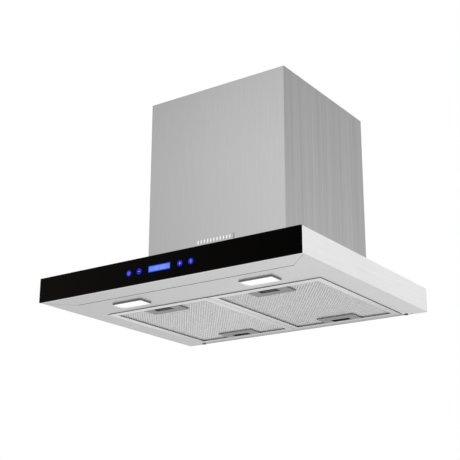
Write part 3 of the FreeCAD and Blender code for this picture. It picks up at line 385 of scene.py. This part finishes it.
def mesh_metal(name, tone):
    """Rolled aluminium strands, lighter and darker in fine random specks."""
    made, tree, shader = material(name, {"Metallic": 1.0, "Base Color": grey(tone)})
    rolled = noise(tree, (900.0, 900.0, 900.0), detail=2.0)
    broad = noise(tree, (190.0, 80.0, 190.0), detail=2.0, rough=0.7)
    strand = ramp(tree, rolled, grey(tone * 0.82), grey(min(1.0, tone * 1.12)))
    shade = ramp(tree, broad, grey(0.80), grey(1.0), 0.32, 0.62)
    link(tree, blend(tree, 1.0, strand, shade, "MULTIPLY"), shader, "Base Color")
    link(tree, remap(tree, rolled, 0.25, 0.45, 0.3, 0.7), shader, "Roughness")
    bump(tree, shader, rolled, 0.03 * MM)
    return made


def pad_metal():
    """The pad's own face: deeper mesh layers, seen as a diamond pattern behind the outer one; the dark gaps
    between its strands are painted shade.
    """
    made, tree, shader = material("pad_metal", {"Metallic": 1.0, "Roughness": 0.45, "Base Color": grey(0.3)})
    turned = []
    for sign in (-1, 1):
        across = node(tree, "SeparateXYZ", {"Vector": place(tree, (1 / WEAVE_ACROSS, 1 / WEAVE_ALONG, 1.0))})
        along = maths(tree, "MULTIPLY", across.outputs["Y"], float(sign))
        diagonal = maths(tree, "ADD", across.outputs["X"], along)
        turned.append(maths(tree, "PINGPONG", diagonal, 0.5))
    nearest = maths(tree, "MINIMUM", *turned)
    # painted shade in the gaps between the painted strands
    colour = ramp(tree, nearest, grey(0.85), grey(0.45), 0.10, 0.24)
    speckle = ramp(tree, noise(tree, (700.0, 700.0, 700.0), detail=2.0), grey(0.7), grey(1.0))
    link(tree, blend(tree, 1.0, colour, speckle, "MULTIPLY"), shader, "Base Color")
    bump(tree, shader, nearest, -0.5 * MM)
    return made


def zinc():
    """Galvanised sheet with its spangle."""
    made, tree, shader = material("zinc", {"Metallic": 1.0, "Roughness": 0.45, "Base Color": grey(0.5)})
    cells = node(tree, "TexVoronoi", {"Vector": place(tree), "Scale": 130.0, "Randomness": 1.0})
    value = node(tree, "SeparateColor", {"Color": cells.outputs["Color"]}).outputs[0]
    spangle = ramp(tree, value, (0.44, 0.46, 0.48, 1.0), (0.60, 0.62, 0.63, 1.0), 0.0, 1.0)
    link(tree, spangle, shader, "Base Color")
    link(tree, remap(tree, value, 0.36, 0.55), shader, "Roughness")
    bump(tree, shader, noise(tree, (240.0, 240.0, 240.0)), 0.05 * MM, 0.4)
    return made


def cast_metal(name, colour, roughness=0.5):
    """Cast or pressed metal with a slightly sandy face."""
    made, tree, shader = material(name, {"Metallic": 1.0, "Roughness": roughness, "Base Color": colour})
    grain = noise(tree, (800.0, 800.0, 800.0), detail=3.0)
    link(tree, ramp(tree, grain, scaled(colour, 0.85), scaled(colour, 1.1)), shader, "Base Color")
    link(tree, remap(tree, grain, roughness - 0.08, roughness + 0.08, 0.3, 0.7), shader, "Roughness")
    bump(tree, shader, grain, 0.05 * MM, 0.6)
    return made


def stacked_laminations():
    """Motor iron: thin sheets stacked along the shaft."""
    sockets = {"Metallic": 1.0, "Roughness": 0.5, "Base Color": grey(0.28)}
    made, tree, shader = material("laminations", sockets)
    inputs = {"Vector": place(tree), "Scale": 320.0, "Distortion": 0.0}
    waves = node(tree, "TexWave", inputs, bands_direction="X")
    stain = noise(tree, (90.0, 90.0, 90.0))
    iron = ramp(tree, waves.outputs["Fac"], grey(0.16), grey(0.36), 0.1, 0.6)
    iron = blend(tree, 1.0, iron, ramp(tree, stain, grey(0.75), grey(1.0)), "MULTIPLY")
    link(tree, iron, shader, "Base Color")
    bump(tree, shader, waves.outputs["Fac"], 0.08 * MM)
    return made


# ================================================================ plastics, glass and light
def moulded(name, colour, roughness=0.45, grain_scale=1400.0, variation=0.12, sheen=0.3):
    """Moulded plastic or rubber with a fine spark-eroded grain."""
    sockets = {"Base Color": colour, "Roughness": roughness, "Specular IOR Level": sheen}
    made, tree, shader = material(name, sockets)
    grain = noise(tree, (grain_scale,) * 3, detail=2.0)
    patches = noise(tree, (40.0, 40.0, 40.0), detail=2.0)
    fine = ramp(tree, grain, scaled(colour, 1 - variation), scaled(colour, 1 + variation))
    mottled = blend(tree, 1.0, fine, ramp(tree, patches, grey(0.92), grey(1.0)), "MULTIPLY")
    link(tree, mottled, shader, "Base Color")
    link(tree, remap(tree, grain, roughness - 0.06, roughness + 0.06, 0.3, 0.7), shader, "Roughness")
    bump(tree, shader, grain, 0.03 * MM, 0.6)
    return made


def latch_plastic():
    """The finger lever's lower face is light; its sides and the bar above lie in the pocket's shade."""
    sockets = {"Base Color": grey(0.12), "Roughness": 0.4, "Specular IOR Level": 0.2}
    made, tree, shader = material("latch_plastic", sockets)
    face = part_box("latch_left_front")[0].z
    light_end, dark_start = (face + height for height in LEVER_FACE)
    grain = noise(tree, (1400.0,) * 3, detail=2.0)
    below = remap(tree, along_axis(tree, "Z"), 1.0, 0.0, light_end, dark_start)
    lever = maths(tree, "MULTIPLY", facing(tree, "Z"), below)
    face_colour = ramp(tree, grain, grey(0.06), grey(0.08))
    link(tree, blend(tree, lever, grey(0.005), face_colour), shader, "Base Color")
    bump(tree, shader, grain, 0.03 * MM, 0.6)
    return made


def black_glass():
    """Black-backed glass with a barely uneven polish; a painted reflection makes it faintly warmer and
    lighter on its left.
    """
    sockets = {"Base Color": grey(0.002), "Roughness": 0.06, "Specular IOR Level": 0.012}
    made, tree, shader = material("black_glass", sockets)
    smears = noise(tree, (9.0, 9.0, 20.0), detail=3.0)
    backing = ramp(tree, smears, (0.0024, 0.0021, 0.0013, 1.0), (0.0034, 0.0030, 0.0019, 1.0))
    # painted reflection: warmer and lighter towards the left
    link(tree, drift(tree, backing, "X", -CANOPY_EDGE_X, CANOPY_EDGE_X, 1.3, 0.1), shader, "Base Color")
    link(tree, remap(tree, smears, 0.04, 0.10, 0.3, 0.7), shader, "Roughness")
    return made


def lit(name, core, edge, strength, scale=400.0):
    """A lit plastic face: its colour glows a little unevenly."""
    sockets = {"Base Color": grey(0.01), "Roughness": 0.4, "Specular IOR Level": 0.1,
               "Emission Strength": strength}
    made, tree, shader = material(name, sockets)
    glow = ramp(tree, noise(tree, (scale,) * 3, detail=2.0), edge, core)
    link(tree, glow, shader, "Emission Color")
    return made


def circuit_board():
    """Green solder mask with tracks."""
    made, tree, shader = material("circuit_board", {"Base Color": (0.02, 0.16, 0.06, 1.0), "Roughness": 0.35})
    inputs = {"Vector": place(tree), "Scale": 160.0, "Mortar Size": 0.08, "Color1": (0.015, 0.14, 0.05, 1.0),
              "Color2": (0.02, 0.19, 0.07, 1.0), "Mortar": (0.10, 0.36, 0.12, 1.0)}
    tracks = node(tree, "TexBrick", inputs)
    link(tree, tracks.outputs["Color"], shader, "Base Color")
    bump(tree, shader, tracks.outputs["Fac"], 0.05 * MM)
    return made


def studio_floor():
    """Matt white paper."""
    made, tree, shader = material("studio_floor", {"Base Color": grey(0.82), "Roughness": 0.6})
    link(tree, ramp(tree, noise(tree, (2.0, 2.0, 2.0)), grey(0.80), grey(0.84)), shader, "Base Color")
    return made


# ================================================================ mesh helpers
def piece(name, verts, faces, finish, body):
    """A mesh piece in the CAD frame that rides on a CAD body."""
    mesh = bpy.data.meshes.new(name)
    mesh.from_pydata(verts, [], faces)
    mesh.materials.append(finish)
    made = bpy.data.objects.new(name, mesh)
    bpy.context.scene.collection.objects.link(made)
    cleaned = bmesh.new()
    cleaned.from_mesh(mesh)
    bmesh.ops.recalc_face_normals(cleaned, faces=cleaned.faces)
    cleaned.to_mesh(mesh)
    cleaned.free()
    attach(made, body)
    return made


def add_prism(verts, faces, outline, lift):
    """Adds a closed prism: the outline's points, and the same points moved by lift."""
    start, count = len(verts), len(outline)
    verts.extend(Vector(point) for point in outline)
    verts.extend(Vector(point) + Vector(lift) for point in outline)
    faces.append(tuple(start + i for i in range(count)))
    faces.append(tuple(start + count + i for i in reversed(range(count))))
    for i in range(count):
        j = (i + 1) % count
        faces.append((start + i, start + count + i, start + count + j, start + j))


def add_bar(verts, faces, first, last, width, lift):
    """Adds a straight bar of that width between two points, as thick as lift is long."""
    first, last, lift = Vector(first), Vector(last), Vector(lift)
    side = (last - first).cross(lift).normalized() * (width / 2)
    add_prism(verts, faces, [first - side, first + side, last + side, last - side], lift)


def arc_points(centre, radius, start, end, steps):
    """Points of an arc in the XZ plane; angles in degrees from +X towards +Z."""
    x, y, z = centre
    angles = [math.radians(start + (end - start) * i / steps) for i in range(steps + 1)]
    return [(x + radius * math.cos(a), y, z + radius * math.sin(a)) for a in angles]


def add_arc(verts, faces, centre, radius, start, end, steps, width, lift):
    """Adds a bent bar along an arc in the XZ plane, as thick as lift is long."""
    outer = arc_points(centre, radius + width / 2, start, end, steps)
    inner = arc_points(centre, radius - width / 2, start, end, steps)
    for i in range(steps):
        add_prism(verts, faces, [inner[i], outer[i], outer[i + 1], inner[i + 1]], lift)


# ================================================================ expanded mesh
def weave(frame, side, finish):
    """Expanded metal on a filter pad: two strands from each knuckle to the next row.

    The part under the handles is left out.
    """
    pad_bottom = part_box("filter_mesh_" + side)[0].z
    frame_low, frame_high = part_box("filter_frame_" + side)
    handles = solids(frame, "handles_" + side)
    border = handles[0][0].y - frame_low.y
    x0, x1 = frame_low.x + border - MM, frame_high.x - border + MM
    y0, y1 = frame_low.y + border - MM, frame_high.y - border + MM
    z = pad_bottom - WEAVE_DROP - STRAND_THICK / 2
    columns = round((x1 - x0) / WEAVE_ACROSS)
    rows = 2 * round((y1 - y0) / WEAVE_ALONG)
    step_x, step_y = (x1 - x0) / columns, (y1 - y0) / rows
    lift = (0, 0, STRAND_THICK)
    verts, faces = [], []

    def covered(x, y):
        return any(first.x < x < last.x and first.y < y < last.y for first, last in handles)

    for row in range(rows):
        shift = 0.5 * (row % 2)
        for column in range(columns + 1):
            x = x0 + (column + shift) * step_x
            y = y0 + row * step_y
            for turn in (-0.5, 0.5):
                end_x = x + turn * step_x
                outside = min(x, end_x) < x0 - 1e-6 or max(x, end_x) > x1 + 1e-6
                if outside or covered((x + end_x) / 2, y + step_y / 2):
                    continue
                tilt = STRAND_THICK * (0.5 if turn > 0 else 0.0)
                add_bar(verts, faces, (x, y, z + tilt), (end_x, y + step_y, z + tilt), STRAND_WIDTH, lift)
    return piece("mesh_weave_" + side, verts, faces, finish, "filter_" + side)


# ================================================================ marks on the glass
def icon_centres(frame):
    """Middles of the four lit discs' faces, left to right."""
    discs = solids(frame, "touch_icons")
    return [Vector(((low.x + high.x) / 2, low.y, (low.z + high.z) / 2)) for low, high in discs]


def icon_rings(frame, finish):
    """A thin ring on each disc."""
    verts, faces = [], []
    for centre in icon_centres(frame):
        add_arc(verts, faces, centre, ICON_RING_R, 0, 360, 36, ICON_STROKE, (0, -GLASS_SKIN, 0))
    return piece("icon_rings", verts, faces, finish, "hood")


def icon_signs(frame, finish):
    """A plain sign on each disc: on/off, minus, plus and lamp."""
    lift = (0, -GLASS_SKIN, 0)
    thin, bold = 1.5 * ICON_STROKE, 2 * ICON_STROKE
    up, right = Vector((0, 0, GLYPH_R)), Vector((GLYPH_R, 0, 0))
    verts, faces = [], []
    power, minus, plus, lamp = icon_centres(frame)
    add_arc(verts, faces, power, GLYPH_R, 125, 415, 20, thin, lift)
    add_bar(verts, faces, power + 0.3 * up, power + 1.4 * up, thin, lift)
    add_bar(verts, faces, minus - right, minus + right, bold, lift)
    add_bar(verts, faces, plus - right, plus + right, bold, lift)
    for sign in (-1, 1):
        start = plus + sign * Vector((0, 0, ICON_STROKE))
        add_bar(verts, faces, start, plus + sign * up, bold, lift)
    add_arc(verts, faces, lamp + 0.3 * up, 0.75 * GLYPH_R, -60, 240, 20, thin, lift)
    for drop in (0.6, 1.0):
        middle = lamp - drop * up
        add_bar(verts, faces, middle - 0.4 * right, middle + 0.4 * right, thin, lift)
    return piece("icon_signs", verts, faces, finish, "hood")


SEGMENTS = {
    "top": ((-1, 1), (1, 1)), "middle": ((-1, 0), (1, 0)), "bottom": ((-1, -1), (1, -1)),
    "upper_left": ((-1, 1), (-1, 0)), "upper_right": ((1, 1), (1, 0)),
    "lower_left": ((-1, 0), (-1, -1)), "lower_right": ((1, 0), (1, -1)),
}
DIGITS = {
    "0": "top bottom upper_left upper_right lower_left lower_right",
    "1": "upper_right lower_right",
    "2": "top middle bottom upper_right lower_left",
}


def display_panel(finish):
    """A lighter field inside the blue window."""
    low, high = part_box("display_window")
    left, right = low.x + DISPLAY_MARGIN, high.x - DISPLAY_MARGIN
    bottom, top = low.z + DISPLAY_MARGIN, high.z - DISPLAY_MARGIN
    outline = [(left, low.y, bottom), (right, low.y, bottom), (right, low.y, top), (left, low.y, top)]
    verts, faces = [], []
    add_prism(verts, faces, outline, (0, -GLASS_SKIN / 2, 0))
    return piece("display_field", verts, faces, finish, "hood")


def display_digits(finish):
    """A plain clock reading, 12:00, in seven-segment digits."""
    low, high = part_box("display_window")
    middle = (low + high) / 2
    face = low.y - GLASS_SKIN / 2
    lift = (0, -GLASS_SKIN, 0)
    verts, faces = [], []
    for number, offset in zip("1200", DIGIT_PLACES):
        x = middle.x + offset * DIGIT_PITCH
        for name in DIGITS[number].split():
            ends = []
            for across, up in SEGMENTS[name]:
                ends.append(Vector((x + across * DIGIT_WIDTH / 2, face, middle.z + up * DIGIT_HEIGHT / 2)))
            inset = (ends[1] - ends[0]).normalized() * DIGIT_STROKE * 0.6
            add_bar(verts, faces, ends[0] + inset, ends[1] - inset, DIGIT_STROKE, lift)
    for up in (-0.22, 0.22):
        dot = Vector((middle.x, face, middle.z + up * DIGIT_HEIGHT))
        step = Vector((DIGIT_STROKE / 2, 0, 0))
        add_bar(verts, faces, dot - step, dot + step, DIGIT_STROKE, lift)
    return piece("display_digits", verts, faces, finish, "hood")


# ================================================================ seams
def seam_shade_strips(finish):
    """Dark strips of painted shade in the open joint behind the front strip and down its two mitres."""
    low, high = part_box("front_wall")
    seam_y = low.y + RIM
    inner, z = high.x - RIM, -SHADE_STRIP_PROUD
    lift = (0, 0, SHADE_STRIP_DEPTH)
    verts, faces = [], []
    add_bar(verts, faces, (-inner, seam_y, z), (inner, seam_y, z), SHADE_STRIP_WIDTH, lift)
    for side in (-1, 1):
        corner = (side * (high.x - MITRE_SHADE_END), low.y + MITRE_SHADE_END, z)
        add_bar(verts, faces, (side * inner, seam_y, z), corner, MITRE_SHADE_WIDTH, lift)
    strips = piece("seam_shade_strips", verts, faces, finish, "hood")
    soften = strips.modifiers.new("rounded", "BEVEL")
    soften.width = 0.1 * MM
    soften.segments = 2
    return strips


# ================================================================ badge and screws
def badge_ribs(finish):
    """A row of low rounded ribs, in place of any lettering."""
    low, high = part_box("badge_plate")
    pitch = (high.x - low.x) / (BADGE_RIBS + 1)
    width, height = RIB_WIDTH * pitch, RIB_LENGTH * (high.z - low.z)
    z = (low.z + high.z) / 2
    verts, faces = [], []
    for i in range(BADGE_RIBS):
        x = low.x + (i + 1) * pitch
        top = arc_points((x, low.y, z + height / 2 - width / 2), width / 2, 0, 180, 8)
        bottom = arc_points((x, low.y, z - height / 2 + width / 2), width / 2, 180, 360, 8)
        add_prism(verts, faces, top + bottom, (0, -RIB_PROUD, 0))
    ribs = piece("badge_ribs", verts, faces, finish, "hood")
    soften = ribs.modifiers.new("soft_edges", "BEVEL")
    soften.width = 0.25 * MM
    soften.segments = 2
    soften.limit_method = "ANGLE"
    return ribs


def screw_recesses(frame, finish):
    """A dark cross of painted shade on the head of every screw that is driven from above, for its cross
    recess.
    """
    verts, faces = [], []
    half = CROSS_WIDTH / 2
    arm = [(CROSS_REACH, -half), (CROSS_REACH, half), (half, half)]
    for low, high in solids(frame, "sheet_screws"):
        middle = Vector(((low.x + high.x) / 2, (low.y + high.y) / 2, high.z))
        outline = []
        for quarter in range(4):
            turn = Matrix.Rotation(math.radians(90 * quarter), 3, "Z")
            outline += [middle + turn @ Vector((x, y, 0)) for x, y in arm]
        add_prism(verts, faces, outline, (0, 0, CROSS_SKIN))
    return piece("screw_recesses", verts, faces, finish, "hood")


# ================================================================ latch springs
def latch_spring(frame, side, end, finish):
    """A coil spring in place of the CAD one."""
    name = "latch_springs_" + side
    low, high = solids(frame, name)[ENDS.index(end)]
    middle = (low + high) / 2
    radius = (high.x - low.x) / 2 - SPRING_WIRE_R
    length = high.y - low.y - 2 * SPRING_WIRE_R
    steps, corners = 24 * SPRING_TURNS, 8
    verts, faces = [], []
    for i in range(steps + 1):
        turn = 2 * math.pi * SPRING_TURNS * i / steps
        outwards = Vector((math.cos(turn), 0, math.sin(turn)))
        centre = Vector((middle.x, low.y + SPRING_WIRE_R + length * i / steps, middle.z)) + radius * outwards
        for j in range(corners):
            angle = 2 * math.pi * j / corners
            offset = math.cos(angle) * outwards + math.sin(angle) * Vector((0, 1, 0))
            verts.append(centre + SPRING_WIRE_R * offset)
    for i in range(steps):
        for j in range(corners):
            a, b = i * corners + j, i * corners + (j + 1) % corners
            faces.append((a, b, b + corners, a + corners))
    faces.append(tuple(range(corners)))
    faces.append(tuple(range(steps * corners, (steps + 1) * corners)))
    made = piece(f"spring_{side}_{end}", verts, faces, finish, "filter_" + side)
    for face in made.data.polygons:
        face.use_smooth = True
    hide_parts(name)
    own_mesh(made)
    return made


# ================================================================ finishes
def dress(frame):
    """Gives every CAD node its finish: most by the record's slot, some by the node's own name."""
    # filter frames: painted shade on their upright walls and towards their rear
    border = brushed("border_steel", 0.79, "X", 0.04, roughness=0.28, painted_side_shade=0.50, rear=0.70)
    rail = brushed("rail_steel", 0.36, "X", 0.03, roughness=0.30)
    chimney = chimney_steel()
    slots = {
        "stainless": canopy_steel(),
        "mesh": pad_metal(),
        "galvanised": zinc(),
        "fastener": cast_metal("bright_steel", grey(0.62), 0.28),
        "black_rivet": moulded("black_paint_and_painted_shade", grey(0.02), 0.35),
        "black_glass": black_glass(),
        "display_blue": lit("display_light", (0.015, 0.080, 1.0, 1.0), (0.010, 0.060, 0.90, 1.0), 1.0, 300.0),
        "icon_blue": lit("icon_light", (0.0, 0.0, 0.60, 1.0), (0.0, 0.0, 0.45, 1.0), 1.0, 500.0),
        "circuit": circuit_board(),
        "black_plastic": moulded("black_plastic", grey(0.035)),
        "latch_grey": latch_plastic(),
        "rubber": moulded("rubber", grey(0.02), 0.7, 900.0),
        "diffuser": lit("lamp_light", (1.0, 0.99, 0.96, 1.0), (0.96, 0.95, 0.92, 1.0), 1.15, 350.0),
        "lead_grey": moulded("lead_sheath", (0.30, 0.30, 0.31, 1.0), 0.6),
        "wheel_grey": moulded("wheel_plastic", (0.22, 0.23, 0.24, 1.0)),
        "motor_case": cast_metal("cast_case", (0.55, 0.56, 0.57, 1.0)),
        "laminations": stacked_laminations(),
        "white_plastic": moulded("white_plastic", (0.80, 0.80, 0.77, 1.0), 0.4, variation=0.04),
    }
    own = {
        "chimney_lower": chimney,
        "chimney_upper": chimney,
        "badge_plate": brushed("badge_steel", 0.40, "Z", 0.05, roughness=0.30),
        "filter_frame_left": border,
        "filter_frame_right": border,
        "handles_left": handle_steel(frame, "left"),
        "handles_right": handle_steel(frame, "right"),
        "back_rail": rail,
        "back_panel": rail,
        "panel_carrier": brushed("carrier_steel", 0.85, "Z", 0.03, roughness=0.3),
        "lamp_bezels": bezel_steel(frame),
    }
    for row in frame["record"]["subparts"]:
        name = row["node"]
        finish = own.get(name, slots[row["material_slot"]])
        mesh = frame["nodes"][name].data
        mesh.materials.clear()
        mesh.materials.append(finish)
    return slots


# ================================================================ studio
def camera_matrix():
    """Looks back along the yaw and pitch, with the small roll about the view axis."""
    flat = math.cos(CAMERA_PITCH)
    back = Vector((math.sin(CAMERA_YAW) * flat, -math.cos(CAMERA_YAW) * flat, math.sin(CAMERA_PITCH)))
    right = (-back).cross(Vector((0, 0, 1))).normalized()
    up = right.cross(-back)
    cos_roll, sin_roll = math.cos(CAMERA_ROLL), math.sin(CAMERA_ROLL)
    rolled_right = cos_roll * right + sin_roll * up
    rolled_up = -sin_roll * right + cos_roll * up
    matrix = Matrix((rolled_right, rolled_up, back)).transposed().to_4x4()
    matrix.translation = CAMERA_PLACE
    return matrix


def add_camera():
    data = bpy.data.cameras.new("camera")
    data.sensor_width = SENSOR
    data.lens = LENS
    data.clip_start, data.clip_end = 0.05, 60.0
    made = bpy.data.objects.new("camera", data)
    made.matrix_world = camera_matrix()
    bpy.context.scene.collection.objects.link(made)
    bpy.context.scene.camera = made


def add_softbox(name, place_at, aim, size, power):
    """A square light that points at its aim and isn't seen itself."""
    data = bpy.data.lights.new(name, "AREA")
    data.shape = "SQUARE"
    data.size = size
    data.energy = power
    made = bpy.data.objects.new(name, data)
    direction = Vector(aim) - Vector(place_at)
    made.matrix_world = Matrix.Translation(place_at) @ direction.to_track_quat("-Z", "Y").to_matrix().to_4x4()
    made.visible_camera = False
    bpy.context.scene.collection.objects.link(made)


def add_world():
    """Even white light from all around."""
    world = bpy.data.worlds.new("studio")
    world.use_nodes = True
    background = world.node_tree.nodes["Background"]
    background.inputs["Color"].default_value = (1.0, 1.0, 1.0, 1.0)
    background.inputs["Strength"].default_value = 1.0
    bpy.context.scene.world = world


def add_floor():
    half = FLOOR_SIZE / 2
    mesh = bpy.data.meshes.new("floor")
    corners = [(-half, -half, FLOOR_Z), (half, -half, FLOOR_Z), (half, half, FLOOR_Z), (-half, half, FLOOR_Z)]
    mesh.from_pydata(corners, [], [(0, 1, 2, 3)])
    mesh.materials.append(studio_floor())
    made = bpy.data.objects.new("floor", mesh)
    bpy.context.scene.collection.objects.link(made)
    made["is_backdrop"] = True


def add_studio():
    add_camera()
    add_world()
    add_floor()
    low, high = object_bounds()
    middle = (Vector(low) + Vector(high)) / 2
    add_softbox("key_front_left", place_at=(-1.6, -2.2, 1.0), aim=middle, size=1.6, power=3.0)
    bpy.context.scene.view_settings.view_transform = "Standard"


# ================================================================ build
def main():
    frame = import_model()
    slots = dress(frame)
    strand = mesh_metal("mesh_strands", 1.0)
    for side in SIDES:
        weave(frame, side, strand)
        for end in ENDS:
            latch_spring(frame, side, end, slots["fastener"])
    icon_rings(frame, lit("icon_ring_print", (0.01, 0.015, 1.0, 1.0), (0.008, 0.01, 0.9, 1.0), 1.0))
    icon_signs(frame, lit("icon_sign_print", (0.38, 0.45, 1.0, 1.0), (0.30, 0.36, 1.0, 1.0), 1.0))
    display_panel(lit("display_field", (0.15, 0.27, 0.92, 1.0), (0.11, 0.22, 0.86, 1.0), 1.0))
    display_digits(lit("display_print", (0.30, 0.44, 1.0, 1.0), (0.26, 0.40, 1.0, 1.0), 1.0))
    # painted shade: dark strips in the open seams
    seam_shade_strips(slots["rubber"])
    # painted shade: dark crosses for the screws' recesses
    screw_recesses(frame, slots["black_rivet"])
    badge_ribs(brushed("rib_steel", 0.66, "Z", 0.05, roughness=0.2))
    add_studio()


main()
